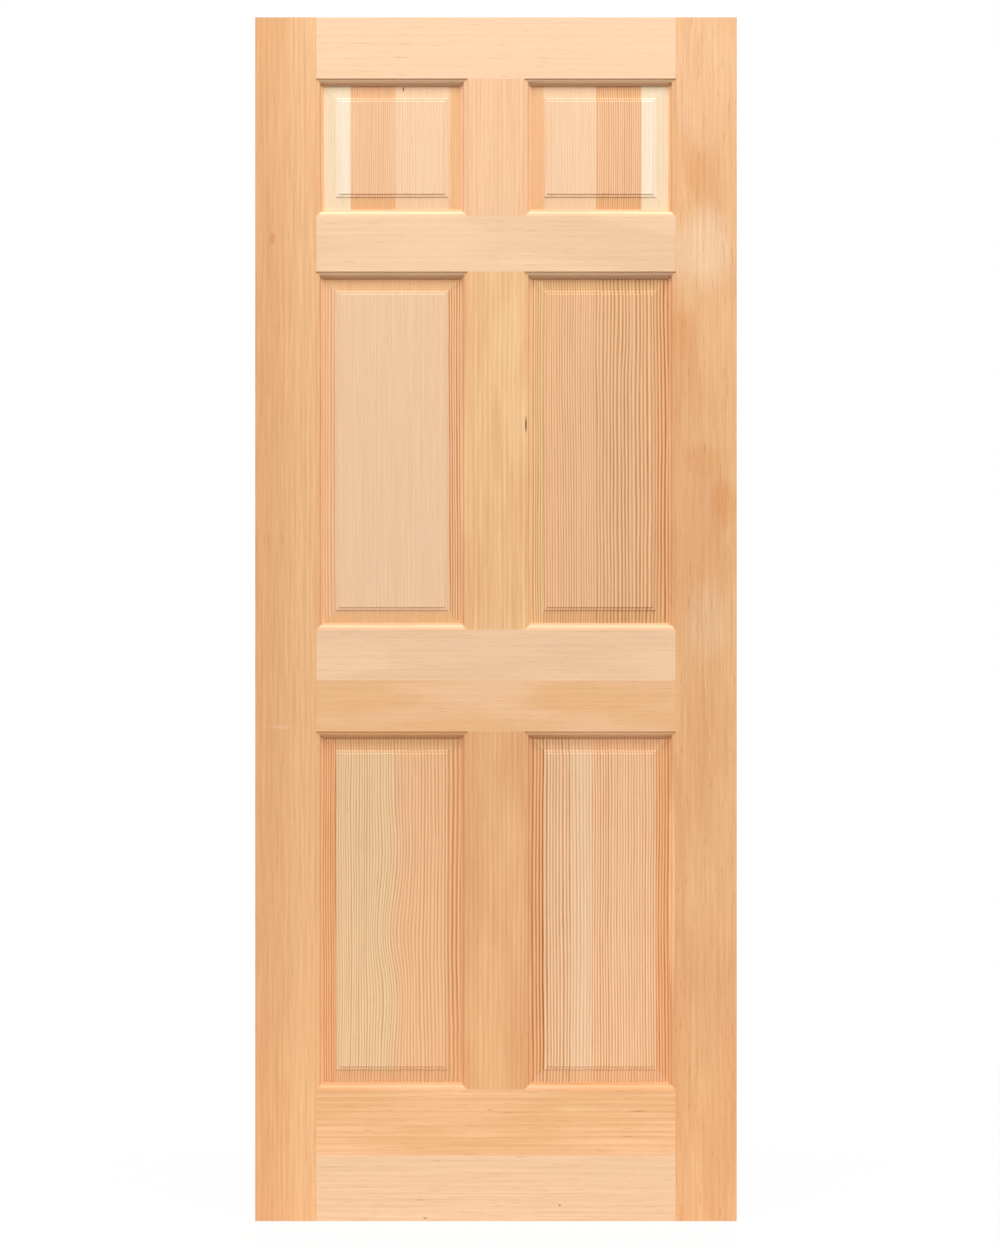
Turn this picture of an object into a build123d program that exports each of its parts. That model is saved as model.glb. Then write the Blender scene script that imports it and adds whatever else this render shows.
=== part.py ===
"""Six-panel stile-and-rail door slab in clear fir, with coped joints and raised panels.

X runs across the width from the hinge edge, the shown face looks along -Y and Z is up from the foot.
"""

import os

from build123d import *

# Slab
door_width = 812.8
door_height = 2032.0
door_thickness = 34.9
edge_ease = 1.2

# Face widths of the members, each measured to the arris where the edge moulding starts
stile_face = 103.2
mullion_face = 97.2
top_rail_face = 103.2
frieze_rail_face = 94.0
lock_rail_face = 172.0
bottom_rail_face = 222.2

# Height of the top openings; the middle and bottom rows share what is left
top_opening = 231.8

# Edge moulding on both faces: a square shoulder, an ovolo and a fillet, with the panel groove between
shoulder_drop = 2.2
shoulder_width = 1.6
ovolo_radius = 5.4
fillet_drop = 2.2
fillet_width = 4.1
groove_width = 11.1
groove_depth = 12.7

# Raised panels: a sloping hip, then two small coved steps up to the flat field
panel_thickness = 19.0
panel_margin = 38.0
cove_radius = 1.4
step_tread = 3.2

# Clearances
tenon_gap = 0.4
tongue_clearance = 0.2
panel_float = 1.5

# Edge-glued staves of each panel: joints measured from the left face line of its opening
top_stave_joints = (57.3, 133.3)
middle_left_stave_joints = (69.5, 133.7, 184.6)
middle_right_stave_joints = (30.8, 121.4)
bottom_left_stave_joints = (32.1, 136.2)
bottom_right_stave_joints = (77.4, 113.4)

# Derived sizes
moulding_width = shoulder_width + ovolo_radius + fillet_width
opening_width = (door_width - 2 * stile_face - mullion_face) / 2
rail_faces = top_rail_face + frieze_rail_face + lock_rail_face + bottom_rail_face
tall_opening = (door_height - rail_faces - top_opening) / 2
tongue_thickness = groove_width - 2 * tongue_clearance
groove_past_face = groove_depth - moulding_width
tenon_past_face = groove_past_face - tenon_gap
panel_past_face = groove_past_face - panel_float

# Face lines from the foot up
bottom_rail_top = bottom_rail_face
bottom_rail_joint = bottom_rail_face / 2
lock_rail_foot = bottom_rail_top + tall_opening
lock_rail_joint = lock_rail_foot + lock_rail_face / 2
lock_rail_top = lock_rail_foot + lock_rail_face
frieze_rail_foot = lock_rail_top + tall_opening
frieze_rail_top = frieze_rail_foot + frieze_rail_face
top_rail_foot = frieze_rail_top + top_opening

# Left face line of each column of openings
left_column = stile_face
right_column = door_width - stile_face - opening_width


# One moulded edge, drawn outward from the member's face line
shoulder_level = door_thickness / 2 - shoulder_drop
ovolo_foot = shoulder_level - ovolo_radius
ovolo_end = shoulder_width + ovolo_radius
fillet_level = ovolo_foot - fillet_drop
with BuildSketch() as moulded_edge:
    with BuildLine():
        Polyline((0, 0), (0, shoulder_level), (shoulder_width, shoulder_level))
        CenterArc((shoulder_width, ovolo_foot), ovolo_radius, 0, 90)
        Polyline((ovolo_end, ovolo_foot), (ovolo_end, fillet_level), (moulding_width, fillet_level))
        Polyline((moulding_width, fillet_level), (moulding_width, 0), (0, 0))
    make_face()
    mirror(about=Plane.XZ)


def member_section(face_width, moulded_sides):
    """Draw a stile, rail or mullion: its plain body, with moulding and groove on the named sides."""
    Rectangle(face_width, door_thickness)
    for side in moulded_sides:
        with Locations((side * face_width / 2, 0)):
            add(moulded_edge.sketch, rotation=0 if side > 0 else 180)
        with Locations((side * (face_width / 2 + moulding_width - groove_depth / 2), 0)):
            Rectangle(groove_depth, groove_width, mode=Mode.SUBTRACT)


def panel_section(length):
    """Draw a raised panel across one of its directions: tongue, hip and two coved steps up to the field."""
    edge = length / 2
    tongue_level = tongue_thickness / 2
    field_level = panel_thickness / 2
    tread_level = field_level - cove_radius
    hip_level = tread_level - cove_radius
    hip_start = edge - moulding_width - panel_past_face
    field_edge = edge - panel_margin - panel_past_face
    tread_start = field_edge + cove_radius
    tread_edge = tread_start + step_tread
    hip_end = tread_edge + cove_radius
    with BuildSketch() as section:
        with BuildLine():
            Polyline((0, 0), (edge, 0), (edge, tongue_level), (hip_start, tongue_level))
            Line((hip_start, tongue_level), (hip_end, hip_level))
            CenterArc((hip_end, tread_level), cove_radius, 180, 90)
            Line((tread_edge, tread_level), (tread_start, tread_level))
            CenterArc((tread_start, field_level), cove_radius, 180, 90)
            Polyline((field_edge, field_level), (0, field_level), (0, 0))
        make_face()
        mirror(about=Plane.XZ)
        mirror(about=Plane.YZ)
    return section.sketch


# Stiles run the full height with their outer arrises eased
with BuildPart() as left_stile:
    with BuildSketch(Plane((stile_face / 2, 0, 0))) as stile_plan:
        member_section(stile_face, (1,))
        fillet(stile_plan.vertices().group_by(Axis.X)[0], edge_ease)
    extrude(amount=door_height)

with BuildPart() as right_stile:
    mirror(left_stile.part, about=Plane.YZ.offset(door_width / 2))

members = {"left_stile": left_stile.part, "right_stile": right_stile.part}


# Rails end in stub tenons, with their shoulders coped over the stiles' moulding
def add_rail(name, foot, top, moulded_sides):
    start = stile_face - tenon_past_face
    with BuildPart() as rail:
        with BuildSketch(Plane((start, 0, (foot + top) / 2), x_dir=(0, 0, 1), z_dir=(1, 0, 0))):
            member_section(top - foot, moulded_sides)
        extrude(amount=door_width - 2 * start)
        add(left_stile.part, mode=Mode.SUBTRACT)
        add(right_stile.part, mode=Mode.SUBTRACT)
    members[name] = rail.part


add_rail("top_rail", top_rail_foot, door_height, (-1,))
add_rail("frieze_rail", frieze_rail_foot, frieze_rail_top, (-1, 1))
add_rail("lock_rail_upper_board", lock_rail_joint, lock_rail_top, (1,))
add_rail("lock_rail_lower_board", lock_rail_foot, lock_rail_joint, (-1,))
add_rail("bottom_rail_upper_board", bottom_rail_joint, bottom_rail_top, (1,))
add_rail("bottom_rail_lower_board", 0, bottom_rail_joint, ())


# Mullions are coped over the rails in the same way
def add_mullion(name, foot, top, rail_below, rail_above):
    with BuildPart() as mullion:
        with BuildSketch(Plane((door_width / 2, 0, foot - tenon_past_face))):
            member_section(mullion_face, (-1, 1))
        extrude(amount=top - foot + 2 * tenon_past_face)
        add(members[rail_below], mode=Mode.SUBTRACT)
        add(members[rail_above], mode=Mode.SUBTRACT)
    members[name] = mullion.part


add_mullion("top_mullion", frieze_rail_top, top_rail_foot, "frieze_rail", "top_rail")
add_mullion("middle_mullion", lock_rail_top, frieze_rail_foot, "lock_rail_upper_board", "frieze_rail")
add_mullion(
    "bottom_mullion", bottom_rail_top, lock_rail_foot, "bottom_rail_upper_board", "lock_rail_lower_board"
)


# A panel is raised by one profile run along it and one across, then parted into staves at its glue joints
def add_panel(name, left_line, foot, opening_height, stave_joints):
    width = opening_width + 2 * panel_past_face
    height = opening_height + 2 * panel_past_face
    along = panel_section(width)
    across = panel_section(height)
    with BuildPart() as panel:
        with BuildSketch():
            add(along)
        extrude(amount=height / 2, both=True)
        with BuildSketch(Plane((0, 0, 0), x_dir=(0, 0, 1), z_dir=(1, 0, 0))):
            add(across)
        extrude(amount=width / 2, both=True, mode=Mode.INTERSECT)
    middle = (left_line + opening_width / 2, 0, foot + opening_height / 2)
    joints = [left_line + joint for joint in stave_joints]
    for number, (left, right) in enumerate(zip([None] + joints, joints + [None]), start=1):
        with BuildPart() as stave:
            with Locations(middle):
                add(panel.part)
            if left is not None:
                split(bisect_by=Plane.YZ.offset(left), keep=Keep.TOP)
            if right is not None:
                split(bisect_by=Plane.YZ.offset(right), keep=Keep.BOTTOM)
        members[f"{name}_stave_{number}"] = stave.part


# The top pair is matched about the middle of the door
top_right_stave_joints = [opening_width - joint for joint in reversed(top_stave_joints)]
add_panel("top_left_panel", left_column, frieze_rail_top, top_opening, top_stave_joints)
add_panel("top_right_panel", right_column, frieze_rail_top, top_opening, top_right_stave_joints)
add_panel("middle_left_panel", left_column, lock_rail_top, tall_opening, middle_left_stave_joints)
add_panel("middle_right_panel", right_column, lock_rail_top, tall_opening, middle_right_stave_joints)
add_panel("bottom_left_panel", left_column, bottom_rail_top, tall_opening, bottom_left_stave_joints)
add_panel("bottom_right_panel", right_column, bottom_rail_top, tall_opening, bottom_right_stave_joints)

os.makedirs("parts", exist_ok=True)
for name, piece in members.items():
    piece.label = name
    export_step(piece, f"parts/{name}.step")
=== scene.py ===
"""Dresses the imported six-panel door: bare sanded fir on every board and stave, and a plain pale stage."""

import math
from dataclasses import dataclass

import bpy
from bpy.props import FloatProperty, FloatVectorProperty, PointerProperty
from bpy.types import Operator, Panel, PropertyGroup
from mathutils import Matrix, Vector


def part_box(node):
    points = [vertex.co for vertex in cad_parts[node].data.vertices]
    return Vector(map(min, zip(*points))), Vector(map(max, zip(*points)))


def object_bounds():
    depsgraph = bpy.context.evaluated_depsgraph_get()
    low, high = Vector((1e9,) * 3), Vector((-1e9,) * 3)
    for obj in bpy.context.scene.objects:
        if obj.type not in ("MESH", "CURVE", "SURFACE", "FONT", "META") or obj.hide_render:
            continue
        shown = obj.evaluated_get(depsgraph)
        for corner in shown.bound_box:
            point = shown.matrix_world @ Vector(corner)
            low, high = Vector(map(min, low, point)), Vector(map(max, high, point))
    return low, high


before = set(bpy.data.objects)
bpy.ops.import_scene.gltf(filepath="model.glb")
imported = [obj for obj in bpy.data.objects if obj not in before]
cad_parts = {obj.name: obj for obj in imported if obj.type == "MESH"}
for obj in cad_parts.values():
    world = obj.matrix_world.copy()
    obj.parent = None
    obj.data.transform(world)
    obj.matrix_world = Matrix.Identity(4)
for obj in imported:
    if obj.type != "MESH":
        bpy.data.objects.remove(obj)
cad_box = [list(corner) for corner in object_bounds()]

bl_info = {
    "name": "Six-panel fir door",
    "version": (1, 0, 0),
    "blender": (4, 5, 0),
    "location": "3D View > Sidebar > Door",
    "description": "Bare fir finishes for a stile-and-rail door, with a plain stage",
    "category": "Object",
}


def shade(red, green, blue):
    """A colour as read on a screen, 0 to 255, in Blender's linear values."""
    linear = []
    for value in (red, green, blue):
        value = value / 255
        linear.append(value / 12.92 if value <= 0.04045 else ((value + 0.055) / 1.055) ** 2.4)
    return tuple(linear)


def rgba(colour):
    """A colour with full alpha, as a shader socket takes it."""
    return (*colour, 1.0)


def tone(name, description, *rgb):
    """A colour setting."""
    return FloatVectorProperty(
        name=name, description=description, subtype="COLOR", size=3, min=0, max=1, default=shade(*rgb)
    )


def length(name, description, default):
    """A length setting, in metres."""
    return FloatProperty(
        name=name,
        description=description,
        default=default,
        min=0,
        precision=5,
        subtype="DISTANCE",
        unit="LENGTH",
    )


def share(name, description, default, most=4):
    """A plain number setting."""
    return FloatProperty(name=name, description=description, default=default, min=0, max=most)


def power(name, description, default):
    """The power of a lamp, in watts."""
    return FloatProperty(name=name, description=description, default=default, min=0, unit="POWER")


class FirTones(PropertyGroup):
    """The colours that fir shows on this door; late wood is given as the share kept of the face's colour."""

    cream: tone("Cream", "Sapwood of the outer top staves", 253, 235, 210)
    ivory: tone("Ivory", "Hips of the sapwood staves", 250, 227, 192)
    shell: tone("Shell", "Pale boards: top and frieze rails, inner top staves", 251, 213, 175)
    sand: tone("Sand", "Plain staves of the middle left panel, a lock and a bottom rail board", 244, 206, 168)
    apricot: tone(
        "Apricot", "Fine-lined staves of the top panels, hips of the middle left one", 249, 202, 160
    )
    honey: tone("Honey", "Mullions, lower lock board and upper bottom board", 242, 191, 140)
    wheat: tone("Wheat", "Yellowish sapwood of the bottom left panel", 247, 211, 167)
    rose: tone("Rose", "Pinkish heartwood of the lined panels", 250, 200, 155)
    blush: tone("Blush", "Pale heartwood beside the bottom mullion", 254, 210, 170)
    tan: tone("Tan", "Stiles", 234, 178, 128)
    straw: tone("Straw", "Yellow stave beside the middle mullion", 250, 207, 155)
    amber: tone("Amber", "Hips of the paler panels", 243, 191, 142)
    copper: tone("Copper", "Hips of the redder panels", 249, 192, 144)
    sienna: tone("Sienna", "Blotches and stains on the stiles and bottom rail", 226, 160, 102)
    russet: tone("Russet", "Kept of the face's colour in reddish late wood", 226, 205, 184)
    olive: tone("Olive", "Kept of the face's colour in brownish late wood", 217, 206, 190)
    umber: tone("Umber", "Pitch streaks and pin knots", 118, 72, 42)


class FirFigure(PropertyGroup):
    """The scale of the figure in the wood."""

    fibre: length("Fibre", "Width of the finest streaks", 0.002)
    streak: length("Streak", "Width of the broader streaks", 0.0045)
    dash: length("Dash", "Width of the short resin dashes", 0.001)
    relief: length("Relief", "Depth of the raised grain", 0.00010)
    roughness: share("Roughness", "How matt the sanded face is", 0.6, 1)


class StageSettings(PropertyGroup):
    """Floor, light and camera."""

    floor: tone("Floor", "Colour of the floor as it is seen", 240, 240, 238)
    near: tone("Near bounce", "Colour of the floor by the door as it lights the door", 223, 218, 212)
    far: tone("Far bounce", "Colour of the floor further off as it lights the door", 110, 106, 101)
    key: share("Key", "Strength of the far light above the camera", 1.3)
    crown: power("Crown", "Power of the broad lamp over the door", 114)
    back: power("Back", "Power of the broad lamp behind the door", 120)
    sky: share("Sky", "Strength of the even light all round", 0.36)
    sky_tone: tone("Sky colour", "Colour of the even light as it falls on the door", 255, 251, 247)
    distance: length("Distance", "From the camera to the door", 7.0)
    frame_height: length("Frame height", "Height of the view at the door", 2.1099)


class Value:
    """A shader socket that takes part in arithmetic; each step adds a Math node."""

    def __init__(self, finish, socket):
        self.finish = finish
        self.socket = socket

    def __add__(self, other):
        return self.finish.math("ADD", self, other)

    def __sub__(self, other):
        return self.finish.math("SUBTRACT", self, other)

    def __rsub__(self, other):
        return self.finish.math("SUBTRACT", other, self)

    def __mul__(self, other):
        return self.finish.math("MULTIPLY", self, other)

    def __abs__(self):
        return self.finish.math("ABSOLUTE", self)

    __radd__ = __add__
    __rmul__ = __mul__

    def root(self):
        return self.finish.math("SQRT", self)

    def part(self):
        return self.finish.math("FRACT", self)

    def whole(self):
        return self.finish.math("FLOOR", self)

    def most(self, other):
        return self.finish.math("MAXIMUM", self, other)

    def rise(self, low, high):
        """0 below low, 1 above high and smooth between."""
        node = self.finish.add(
            "ShaderNodeMapRange",
            {"interpolation_type": "SMOOTHSTEP", "clamp": True},
            {"Value": self, "From Min": low, "From Max": high},
        )
        return Value(self.finish, node.outputs["Result"])

    def bell(self, middle, width):
        """1 at the middle, falling off smoothly to either side."""
        away = (self - middle) * (1 / width)
        return self.finish.math("POWER", math.e, away * away * -1)


class Finish:
    """A material or sky under construction."""

    def __init__(self, tree):
        self.tree = tree
        self.tree.nodes.clear()

    def add(self, kind, settings=None, inputs=None):
        """A node of this kind, with its settings made first and then its sockets' values or links."""
        node = self.tree.nodes.new(kind)
        for key, value in (settings or {}).items():
            setattr(node, key, value)
        for key, value in (inputs or {}).items():
            if isinstance(value, Value):
                self.tree.links.new(value.socket, node.inputs[key])
            else:
                node.inputs[key].default_value = value
        return node

    def read(self, kind, output):
        """The named output of a node that takes no input."""
        return Value(self, self.add(kind).outputs[output])

    def math(self, operation, *values):
        node = self.add("ShaderNodeMath", {"operation": operation}, dict(enumerate(values)))
        return Value(self, node.outputs[0])

    def vector(self, operation, *values):
        node = self.add("ShaderNodeVectorMath", {"operation": operation}, dict(enumerate(values)))
        return Value(self, node.outputs[0])

    def split(self, vector):
        """The three parts of a vector."""
        node = self.add("ShaderNodeSeparateXYZ", None, {"Vector": vector})
        return [Value(self, node.outputs[axis]) for axis in "XYZ"]

    def point(self, x, y, z):
        """A vector from its three parts."""
        node = self.add("ShaderNodeCombineXYZ", None, {"X": x, "Y": y, "Z": z})
        return Value(self, node.outputs[0])

    def noise(self, point, detail=2.0, rough=0.5):
        """Soft noise from 0 to 1, with one feature per unit."""
        node = self.add(
            "ShaderNodeTexNoise",
            {"noise_dimensions": "3D"},
            {"Vector": point, "Scale": 1.0, "Detail": detail, "Roughness": rough},
        )
        return Value(self, node.outputs["Fac"])

    def chance(self, number):
        """A steady random value for each whole number."""
        node = self.add("ShaderNodeTexWhiteNoise", {"noise_dimensions": "1D"}, {"W": number})
        return Value(self, node.outputs["Value"])

    def blend(self, under, over, amount):
        """Lay one colour over another."""
        settings = {"data_type": "RGBA", "blend_type": "MIX", "clamp_factor": True}
        node = self.add("ShaderNodeMix", settings, {0: amount, 6: under, 7: over})
        return Value(self, node.outputs[2])

    def close(self, shader, output="ShaderNodeOutputMaterial"):
        """Join the shader to the output."""
        end = self.add(output)
        self.tree.links.new(shader.outputs[0], end.inputs["Surface"])


@dataclass
class Mark:
    """A blotch, knot or pitch streak on the shown face: its middle, its half sizes, its tone and strength."""

    x: float
    z: float
    half_width: float
    half_height: float
    tone: str
    depth: float


@dataclass
class Swirl:
    """A bend in the ring lines: its middle, and how far it pushes them across."""

    x: float
    z: float
    push: float


@dataclass
class Board:
    """How one board or stave was cut and what it shows; lengths in metres, places in the door's own frame.

    Its tones are the face's, the one that the face drifts to, and those of the hips at its sides and ends.
    An edge is the place where the drift happens and its softness; without one the drift is in clouds.
    Ring lines have a width, a growth of that width, a strength on face and hips, a sway and a tilt.
    Boards with the same cut number run on from one another.
    """

    face: str
    drift: str = ""
    edge: tuple = ()
    hip: str = ""
    ends: str = ""
    line: str = "russet"
    ring: float = 0.005
    growth: float = 0.0
    lines: float = 0.2
    hip_lines: float = 0.0
    sway: float = 0.004
    tilt: float = 0.3
    fibre: float = 0.5
    streaks: float = 0.5
    dashes: float = 0.3
    swirls: tuple = ()
    marks: tuple = ()
    cut: int = 0
    along_x: bool = False


bottom_left_swirls = (Swirl(0.232, 0.62, 0.004), Swirl(0.230, 0.48, -0.008), Swirl(0.234, 0.38, 0.004))

boards = {
    "left_stile": Board(
        "tan", "honey", (0.045, 0.03), ring=0.009, lines=0.12, streaks=0.6, dashes=0.4, fibre=1.3,
        marks=(
            Mark(0.029, 1.659, 0.006, 0.011, "sienna", 1.0),
            Mark(0.045, 0.834, 0.024, 0.004, "shell", 0.35),
        ),
    ),
    "right_stile": Board(
        "tan", "honey", ring=0.012, lines=0.08, streaks=0.6, dashes=0.8, fibre=1.1,
        marks=(
            Mark(0.76, 1.95, 0.09, 0.17, "apricot", 0.6),
            Mark(0.755, 1.64, 0.07, 0.085, "shell", 0.75),
            Mark(0.742, 1.766, 0.02, 0.055, "sienna", 0.35),
            Mark(0.727, 1.503, 0.032, 0.055, "sienna", 0.35),
            Mark(0.76, 1.285, 0.05, 0.034, "sienna", 0.35),
            Mark(0.792, 1.215, 0.026, 0.055, "sienna", 0.6),
            Mark(0.765, 1.01, 0.045, 0.08, "sand", 0.4),
            Mark(0.704, 0.58, 0.006, 0.2, "straw", 1.0),
        ),
    ),
    "top_rail": Board(
        "shell", along_x=True, ring=0.012, lines=0.1, dashes=0.5, fibre=0.35, streaks=0.35
    ),
    "frieze_rail": Board(
        "shell", "sand", along_x=True, ring=0.012, lines=0.1, dashes=0.5, fibre=0.35, streaks=0.35
    ),
    "lock_rail_upper_board": Board(
        "sand", "shell", along_x=True, ring=0.011, lines=0.1, dashes=0.5, fibre=0.4, streaks=0.4
    ),
    "lock_rail_lower_board": Board(
        "honey", "apricot", along_x=True, ring=0.011, lines=0.08, dashes=0.5, fibre=0.4, streaks=0.4
    ),
    "bottom_rail_upper_board": Board(
        "honey", "rose", along_x=True, ring=0.011, lines=0.25, dashes=0.6, fibre=0.7, streaks=1.0,
        marks=(
            Mark(0.548, 0.191, 0.05, 0.007, "straw", 0.7),
            Mark(0.651, 0.186, 0.014, 0.0018, "sienna", 0.9),
            Mark(0.396, 0.188, 0.007, 0.0018, "sienna", 0.9),
        ),
    ),
    "bottom_rail_lower_board": Board(
        "sand", along_x=True, ring=0.011, lines=0.15, dashes=0.6, fibre=0.6, streaks=0.9,
        marks=(
            Mark(0.514, 0.027, 0.0022, 0.0022, "umber", 0.7),
            Mark(0.287, 0.005, 0.005, 0.002, "umber", 0.6),
        ),
    ),
    "top_mullion": Board("apricot", lines=0.2, ring=0.007, streaks=0.8, fibre=0.8),
    "middle_mullion": Board(
        "honey", "straw", lines=0.3, ring=0.008, streaks=1.0, fibre=1.0,
        marks=(Mark(0.457, 1.345, 0.0022, 0.019, "umber", 1.0),),
    ),
    "bottom_mullion": Board("tan", "honey", lines=0.3, ring=0.008, streaks=0.9, fibre=0.9),
    "top_left_panel_stave_1": Board(
        "cream", hip="ivory", ends="ivory", lines=0.1, ring=0.004, hip_lines=0.3
    ),
    "top_left_panel_stave_2": Board("apricot", ends="amber", lines=0.6, ring=0.0038),
    "top_left_panel_stave_3": Board(
        "shell", "amber", (0.327, 0.004), lines=0.35, ring=0.0045,
        marks=(Mark(0.250, 1.912, 0.0019, 0.007, "umber", 1.0),),
    ),
    "top_right_panel_stave_1": Board("amber", "shell", (0.486, 0.004), lines=0.35, ring=0.0045),
    "top_right_panel_stave_2": Board("apricot", ends="amber", lines=1.0, ring=0.0038),
    "top_right_panel_stave_3": Board(
        "cream", hip="ivory", ends="ivory", lines=0.1, ring=0.004, hip_lines=0.3
    ),
    "middle_left_panel_stave_1": Board(
        "sand", hip="apricot", ends="honey", lines=0.12, ring=0.005, hip_lines=0.9
    ),
    "middle_left_panel_stave_2": Board("sand", ends="honey", lines=0.12, ring=0.006),
    "middle_left_panel_stave_3": Board("sand", ends="honey", lines=0.12, ring=0.006),
    "middle_left_panel_stave_4": Board(
        "sand", hip="apricot", ends="honey", lines=0.12, ring=0.0045, hip_lines=1.7
    ),
    "middle_right_panel_stave_1": Board(
        "straw", hip="straw", ends="straw", line="olive", lines=1.2, ring=0.004, hip_lines=1.6
    ),
    "middle_right_panel_stave_2": Board("rose", ends="honey", line="olive", lines=1.0, ring=0.0044),
    "middle_right_panel_stave_3": Board(
        "rose", hip="copper", ends="honey", line="olive", lines=1.4, ring=0.0061, hip_lines=1.8, sway=0.006
    ),
    "bottom_left_panel_stave_1": Board(
        "copper", hip="copper", ends="copper", lines=1.7, ring=0.004, hip_lines=1.7
    ),
    "bottom_left_panel_stave_2": Board(
        "wheat", "rose", (0.235, 0.012), ends="amber", line="olive", lines=1.0, ring=0.0051, growth=1.28,
        cut=7, swirls=bottom_left_swirls, sway=0.008,
    ),
    "bottom_left_panel_stave_3": Board(
        "wheat", "rose", (0.235, 0.012), ends="amber", line="olive", lines=1.0, ring=0.0051, growth=1.28,
        cut=7, swirls=bottom_left_swirls, sway=0.008, hip="copper", hip_lines=1.4,
    ),
    "bottom_right_panel_stave_1": Board(
        "blush", "shell", (0.530, 0.010), ends="rose", line="olive", lines=1.5, ring=0.0055,
        cut=8, hip="copper", hip_lines=2.0,
    ),
    "bottom_right_panel_stave_2": Board(
        "blush", "shell", (0.530, 0.010), ends="rose", line="olive", lines=0.85, ring=0.0055, cut=8
    ),
    "bottom_right_panel_stave_3": Board(
        "blush", hip="copper", ends="rose", lines=1.3, ring=0.0048, hip_lines=1.6
    ),
}

# Noise swings about this value
noise_middle = 0.5

# How far a board's number moves it through the noise, so that boards differ, and the number of the first
number_across = 3.7
number_along = 1.9
number_rings = 17
first_number = 11

# Ring lines: slow and quick swings as shares of the sway, and the half sizes of a swirl in metres
slow_swing = 2
quick_swing = 0.3
swirl_height = 0.06
swirl_width = 0.035

# Uneven rings: how quickly the spacing strays from ring to ring, how far, and how much their strength varies
stray_pace = 0.37
stray_reach = 0.7
ring_spread = 0.35
wear_least = 0.7
wear_spread = 0.6

# Shares of one ring's width over which late wood sets in and ends
late_start = (0.2, 0.7)
late_stop = (0.78, 1.0)

# Levels of the noise over which a dash shows and a face drifts, and how far an edge wanders, in metres
dash_rise = (0.72, 0.84)
drift_rise = (0.35, 0.65)
edge_wander = 0.01

# A hip leans more than the flat faces and less than the mouldings, by the sideways part of its direction
above_flat = (0.03, 0.06)
below_moulding = (0.2, 0.3)

# Marks fade over these shares of their half size, wander by this share, and stay on the front half
mark_fade = (0.3, 1.1)
mark_wander = 0.8
front_half = (-0.002, 0.002)

# The sanded surface
fibre_height = 0.6
late_height = 0.4
bump_strength = 0.5
roughness_spread = 0.16
gloss = 0.25


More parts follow.
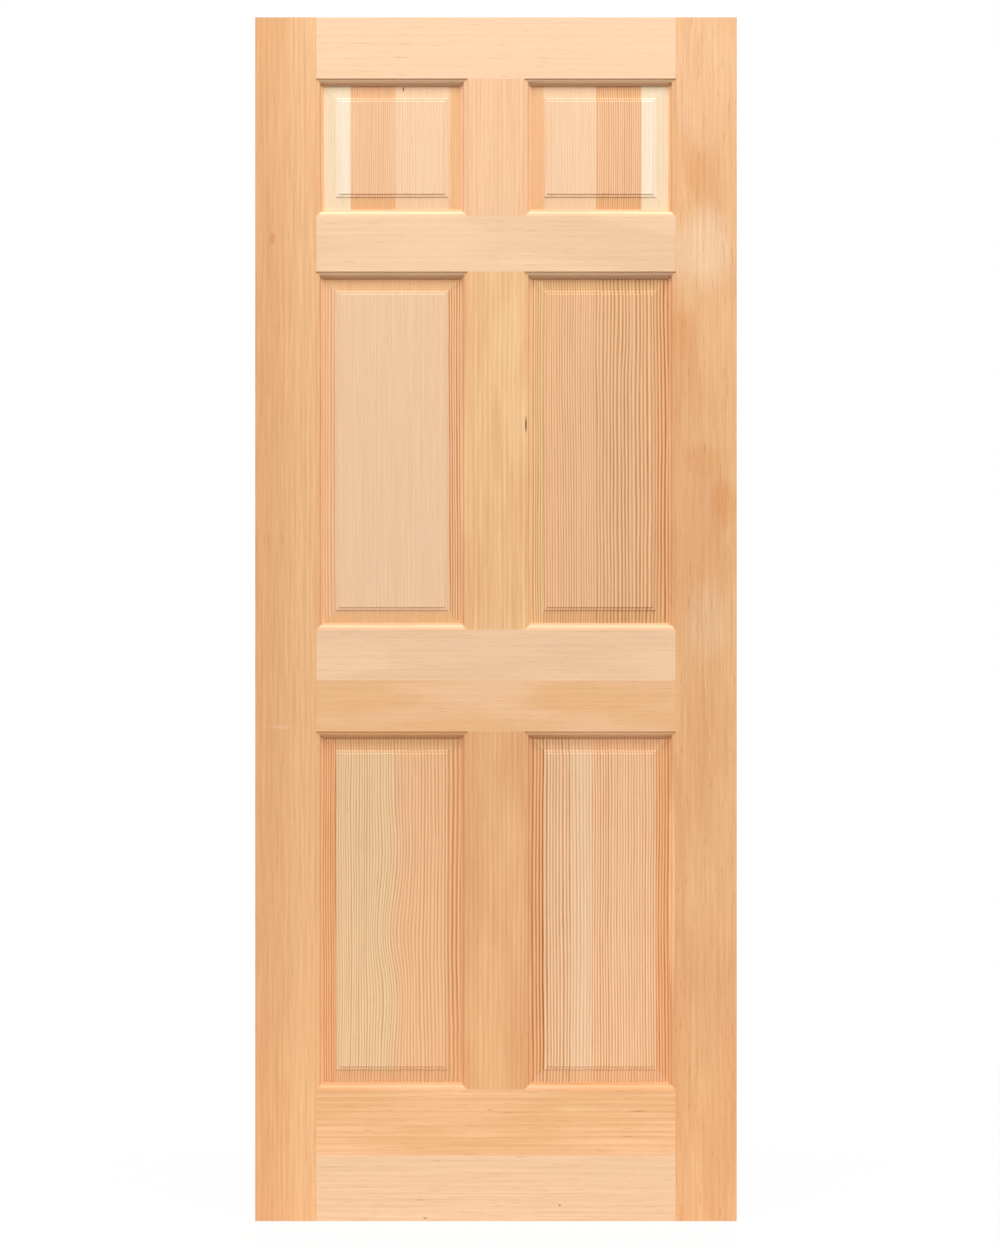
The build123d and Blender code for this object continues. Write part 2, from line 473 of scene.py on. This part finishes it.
def fir(name, board, number):
    """Bare sanded fir for one board: ring lines, fibre, streaks, resin dashes and slow changes of tone."""
    tones = bpy.context.scene.door_tones
    figure = bpy.context.scene.door_figure
    material = bpy.data.materials.new(f"fir_{name}")
    material.use_nodes = True
    finish = Finish(material.node_tree)
    x, y, z = finish.split(finish.read("ShaderNodeTexCoord", "Object"))
    lean_x, _, lean_z = finish.split(finish.read("ShaderNodeTexCoord", "Normal"))
    across, along = (z, x) if board.along_x else (x, z)

    def shown(tone_name):
        return rgba(getattr(tones, tone_name))

    def grain(width, reach, detail=2.0, rough=0.5, shift=0.0):
        """Noise drawn out along the grain: width across it and reach along it, in metres."""
        place = finish.point(
            across * (1 / width) + (number * number_across + shift),
            y * (1 / width),
            along * (1 / reach) + number * number_along,
        )
        return finish.noise(place, detail, rough)

    def hip_mask(lean):
        """1 on the hips that lean this way."""
        lean = abs(lean)
        return lean.rise(*above_flat) * (1 - lean.rise(*below_moulding))

    # Place across the rings
    slow = grain(width=0.09, reach=0.42) - noise_middle
    quick = grain(width=0.02, reach=0.07, detail=1.0) - noise_middle
    sway = slow * (slow_swing * board.sway) + quick * (quick_swing * board.sway)
    place = across + y * board.tilt + sway
    for swirl in board.swirls:
        place = place - z.bell(swirl.z, swirl_height) * x.bell(swirl.x, swirl_width) * swirl.push
    low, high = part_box(name)
    middle = (low + high) / 2
    centre = middle.z if board.along_x else middle.x
    if board.edge:
        centre, softness = board.edge
    place = place - centre

    # Late wood of each ring
    count = place * (1 / board.ring)
    if board.growth:
        count = count * (1 - place * board.growth)
    stray = finish.noise(finish.point(count * stray_pace, number, 0.0), detail=1.0) - noise_middle
    count = count + stray * stray_reach
    stage = count.part()
    late = stage.rise(*late_start) * (1 - stage.rise(*late_stop))
    late = late * (1 - ring_spread + ring_spread * finish.chance(count.whole() + number * number_rings))
    wear = grain(width=0.004, reach=0.09, detail=1.0, shift=21.0)
    late = late * (wear_least + wear_spread * wear)

    # Finer figure
    fibre = grain(figure.fibre, reach=0.1, rough=0.6)
    streak = grain(figure.streak, reach=0.3, detail=3.0, rough=0.6, shift=5.0)
    dash = grain(figure.dash, reach=0.03, detail=0.0, shift=9.0).rise(*dash_rise)
    cloud = grain(width=0.05, reach=0.25, shift=13.0)

    # Tones of the face, the hips and the marks
    turn = cloud.rise(*drift_rise)
    if board.edge:
        turn = (place + (cloud - noise_middle) * edge_wander).rise(-softness, softness)
    colour = finish.blend(shown(board.face), shown(board.drift or board.face), turn)
    if board.ends:
        colour = finish.blend(colour, shown(board.ends), hip_mask(lean_z))
    strength = board.lines
    if board.hip:
        side = hip_mask(lean_x)
        colour = finish.blend(colour, shown(board.hip), side)
        strength = board.lines + (board.hip_lines - board.lines) * side
    for mark in board.marks:
        away_x = (x - mark.x) * (1 / mark.half_width)
        away_z = (z - mark.z) * (1 / mark.half_height)
        away = (away_x * away_x + away_z * away_z).root() + (cloud - noise_middle) * mark_wander
        spot = (1 - away.rise(*mark_fade)) * (-1 * y).rise(*front_half)
        colour = finish.blend(colour, shown(mark.tone), spot * mark.depth)

    # Darker lines take their share of the colour away
    dark = late * strength
    dark = dark + (fibre - noise_middle) * board.fibre + (streak - noise_middle) * board.streaks
    dark = dark + dash * board.dashes
    lost = [kept - 1 for kept in getattr(tones, board.line)]
    colour = finish.vector("MULTIPLY", colour, finish.vector("MULTIPLY_ADD", dark, lost, (1, 1, 1)))

    bump = finish.add(
        "ShaderNodeBump",
        None,
        {
            "Strength": bump_strength,
            "Distance": figure.relief,
            "Height": fibre * fibre_height + late * late_height,
        },
    )
    shader = finish.add(
        "ShaderNodeBsdfPrincipled",
        None,
        {
            "Base Color": colour,
            "Roughness": figure.roughness + (fibre - noise_middle) * roughness_spread,
            "Normal": Value(finish, bump.outputs["Normal"]),
            "Specular IOR Level": gloss,
        },
    )
    finish.close(shader)
    return material


def dress(names):
    """Give each named board its own fir."""
    order = sorted(boards)
    for name in names:
        board = boards[name]
        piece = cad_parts[name]
        piece.material_slots[0].material = fir(name, board, board.cut or order.index(name) + first_number)


class FinishStiles(Operator):
    """Dress the two stiles"""

    bl_idname = "door.finish_stiles"
    bl_label = "Stiles"

    def execute(self, context):
        dress([name for name in boards if "stile" in name])
        return {"FINISHED"}


class FinishRails(Operator):
    """Dress the rails and the boards that they are glued from"""

    bl_idname = "door.finish_rails"
    bl_label = "Rails"

    def execute(self, context):
        dress([name for name in boards if "rail" in name])
        return {"FINISHED"}


class FinishMullions(Operator):
    """Dress the three mullions"""

    bl_idname = "door.finish_mullions"
    bl_label = "Mullions"

    def execute(self, context):
        dress([name for name in boards if "mullion" in name])
        return {"FINISHED"}


class FinishPanels(Operator):
    """Dress the staves of the six raised panels"""

    bl_idname = "door.finish_panels"
    bl_label = "Panels"

    def execute(self, context):
        dress([name for name in boards if "stave" in name])
        return {"FINISHED"}


# The stage, in metres: its middle, the floor's side and the distances from the door over which the floor's
# bounce weakens and its seen colour turns from almost white to white
stage_middle = 0.4
floor_side = 14
bounce_fade = (0.7, 1.8)
white_fade = (1.0, 2.5)
white_share = 0.92
key_angle = math.radians(4)
broad_lamp = {"shape": "RECTANGLE", "size": 3.0, "size_y": 1.3}

# The middle of the view lies this far to the right of the door's middle and below it
view_aside = 0.0068
view_below = 0.0097


def lamp(name, kind, energy, place, target, **settings):
    """A lamp that the camera doesn't see, in front of or behind the door's middle, turned to the target.

    Place and target are the distance along Y and the height.
    """
    data = bpy.data.lights.new(name, kind)
    data.energy = energy
    for key, value in settings.items():
        setattr(data, key, value)
    place, target = (Vector((stage_middle, *spot)) for spot in (place, target))
    piece = bpy.data.objects.new(name, data)
    piece.location = place
    piece.rotation_euler = (target - place).to_track_quat("-Z", "Y").to_euler()
    piece.visible_camera = False
    bpy.context.scene.collection.objects.link(piece)


def seen_direct(finish):
    """1 for the rays that should meet a plain white ground."""
    path = finish.add("ShaderNodeLightPath")
    kinds = ("Is Camera Ray", "Is Glossy Ray", "Is Transmission Ray")
    camera, glossy, transmission = (Value(finish, path.outputs[kind]) for kind in kinds)
    return camera.most(glossy).most(transmission)


class SetStage(Operator):
    """Lay the floor, hang the lamps and place the camera"""

    bl_idname = "door.set_stage"
    bl_label = "Stage"

    def execute(self, context):
        scene = context.scene
        stage = scene.door_stage
        scene.view_settings.view_transform = "Standard"
        bpy.ops.mesh.primitive_plane_add(size=floor_side, location=(stage_middle, 0, 0))
        floor = context.object
        floor.name = "floor"
        material = bpy.data.materials.new("pale_floor")
        material.use_nodes = True
        pale = Finish(material.node_tree)
        direct = seen_direct(pale)
        away = abs(pale.split(pale.read("ShaderNodeTexCoord", "Object"))[1])
        bounce = pale.blend(rgba(stage.near), rgba(stage.far), away.rise(*bounce_fade))
        colour = pale.blend(bounce, rgba(stage.floor), direct)
        matt = pale.add("ShaderNodeBsdfDiffuse", None, {"Color": colour})
        white = pale.add("ShaderNodeEmission", None, {"Strength": 1.0})
        whiteness = white_share + (1 - white_share) * away.rise(*white_fade)
        mix = pale.add("ShaderNodeMixShader", None, {0: direct * whiteness})
        pale.tree.links.new(matt.outputs[0], mix.inputs[1])
        pale.tree.links.new(white.outputs[0], mix.inputs[2])
        pale.close(mix)
        floor.data.materials.append(material)

        scene.world = bpy.data.worlds.new("studio")
        scene.world.use_nodes = True
        sky = Finish(scene.world.node_tree)
        direct = seen_direct(sky)
        colour = sky.blend(rgba(stage.sky_tone), (1, 1, 1, 1), direct)
        strength = direct + (1 - direct) * stage.sky
        ground = sky.add("ShaderNodeBackground", None, {"Color": colour, "Strength": strength})
        sky.close(ground, "ShaderNodeOutputWorld")
        lamp("key_lamp", "SUN", stage.key, place=(-9.0, 10.0), target=(0, 1.0), angle=key_angle)
        lamp("crown_lamp", "AREA", stage.crown, place=(-1.8, 5.0), target=(0, 1.4), **broad_lamp)
        lamp("back_lamp", "AREA", stage.back, place=(4.6, 2.4), target=(0, 1.0), **broad_lamp)

        data = bpy.data.cameras.new("camera")
        data.lens = data.sensor_width * stage.distance / stage.frame_height
        camera = bpy.data.objects.new("camera", data)
        low, high = (Vector(corner) for corner in cad_box)
        middle = (low + high) / 2
        camera.location = (middle.x + view_aside, low.y - stage.distance, middle.z - view_below)
        camera.rotation_euler = (math.radians(90), 0, 0)
        scene.collection.objects.link(camera)
        scene.camera = camera
        return {"FINISHED"}


class DoorPanel(Panel):
    """The door's settings and steps"""

    bl_idname = "VIEW3D_PT_six_panel_door"
    bl_label = "Six-panel door"
    bl_space_type = "VIEW_3D"
    bl_region_type = "UI"
    bl_category = "Door"

    def draw(self, context):
        layout = self.layout
        for name, group in settings.items():
            box = layout.box()
            for key in group.__annotations__:
                box.prop(getattr(context.scene, name), key)
        for step in steps:
            layout.operator(step.bl_idname)


settings = {"door_tones": FirTones, "door_figure": FirFigure, "door_stage": StageSettings}
steps = (FinishStiles, FinishRails, FinishMullions, FinishPanels, SetStage)
classes = (*settings.values(), *steps, DoorPanel)


def register():
    for item in classes:
        bpy.utils.register_class(item)
    for name, group in settings.items():
        setattr(bpy.types.Scene, name, PointerProperty(type=group))


def unregister():
    for name in settings:
        delattr(bpy.types.Scene, name)
    for item in reversed(classes):
        bpy.utils.unregister_class(item)


def main():
    register()
    bpy.ops.door.finish_stiles()
    bpy.ops.door.finish_rails()
    bpy.ops.door.finish_mullions()
    bpy.ops.door.finish_panels()
    bpy.ops.door.set_stage()


if __name__ == "__main__":
    main()
